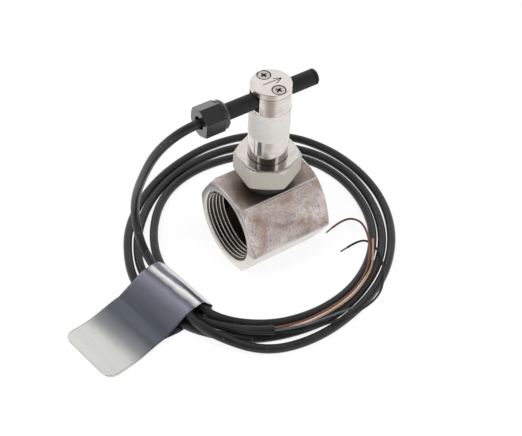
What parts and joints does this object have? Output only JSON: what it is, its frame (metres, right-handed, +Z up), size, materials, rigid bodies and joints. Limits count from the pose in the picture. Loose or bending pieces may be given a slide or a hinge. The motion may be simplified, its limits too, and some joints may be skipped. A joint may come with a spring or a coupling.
{
  "type": "paddle flow switch",
  "caption": "Paddle flow switch: hexagonal tee with pipe sockets, slotted stem with a hinged paddle inside, clamped crosswise reed tube and a coiled cable with bare cores.",
  "frame": {"origin": "centre of the hexagon facet that the tee stands on", "axes": "+X along the pipe in the direction of flow, +Z up along the stem"},
  "size_m": [0.2146, 0.169, 0.1186],
  "materials": {
    "tee_steel": "satin, stained",
    "stem_steel": "fine turned",
    "cap_steel": "fine turned",
    "screw_steel": "bright",
    "gasket": "matt",
    "label_foil": "matt foil",
    "carrier_brass": "turned",
    "spring_steel": "hardened",
    "lever_steel": "turned",
    "blade_steel": "rolled sheet",
    "magnet": "nickel plated",
    "black_plastic": "moulded",
    "gland_plastic": "moulded, semi-gloss",
    "potting": "cast resin",
    "holder_plastic": "moulded",
    "capsule_glass": "clear",
    "reed_metal": "plated",
    "wire": "tinned copper",
    "cable_jacket": "satin PVC",
    "core_brown": "PVC",
    "core_tan": "PVC",
    "core_grey": "PVC",
    "core_black": "PVC",
    "tin": "tinned",
    "flag_foil": "silver film"
  },
  "bodies": {
    "housing": {"tee_body": "tee_steel", "stem_gasket": "gasket", "stem_housing": "stem_steel", "clamp_cap": "cap_steel", "cap_screws": "screw_steel", "stem_label": "label_foil", "pivot_carrier": "carrier_brass", "pivot_pin": "spring_steel", "pin_spacers": "carrier_brass", "retaining_ring": "spring_steel", "return_magnet": "magnet"},
    "paddle": {"paddle_lever": "lever_steel", "magnet_cup": "lever_steel", "lever_magnet": "magnet", "paddle_blade": "blade_steel", "blade_rivets": "lever_steel"},
    "reed_unit": {"reed_tube": "black_plastic", "tube_end_plug": "black_plastic", "potting_plug": "potting", "switch_holder": "holder_plastic", "reed_capsule": "capsule_glass", "contact_reeds": "reed_metal", "switch_wires": "wire", "gland_nut": "gland_plastic", "gland_grommet": "gasket", "cable_lead": "cable_jacket", "cable_tail": "cable_jacket", "cable_coil": "cable_jacket", "core_brown": "core_brown", "core_tan": "core_tan", "core_grey": "core_grey", "core_black": "core_black", "core_tips": "tin", "flag_label": "flag_foil"}
  },
  "joints": [
    {"name": "paddle_hinge", "type": "hinge", "parent": "housing", "child": "paddle", "pos_m": [0, 0, 0.066], "axis": [0, -1, 0], "range_deg": [0, 8], "stiffness_Nm_per_rad": 0.02, "springref_deg": -5.73},
    {"name": "reed_tube_slide", "type": "slide", "parent": "housing", "child": "reed_unit", "axis": [1, 0, 0], "range_m": [-0.004, 0.004]}
  ]
}
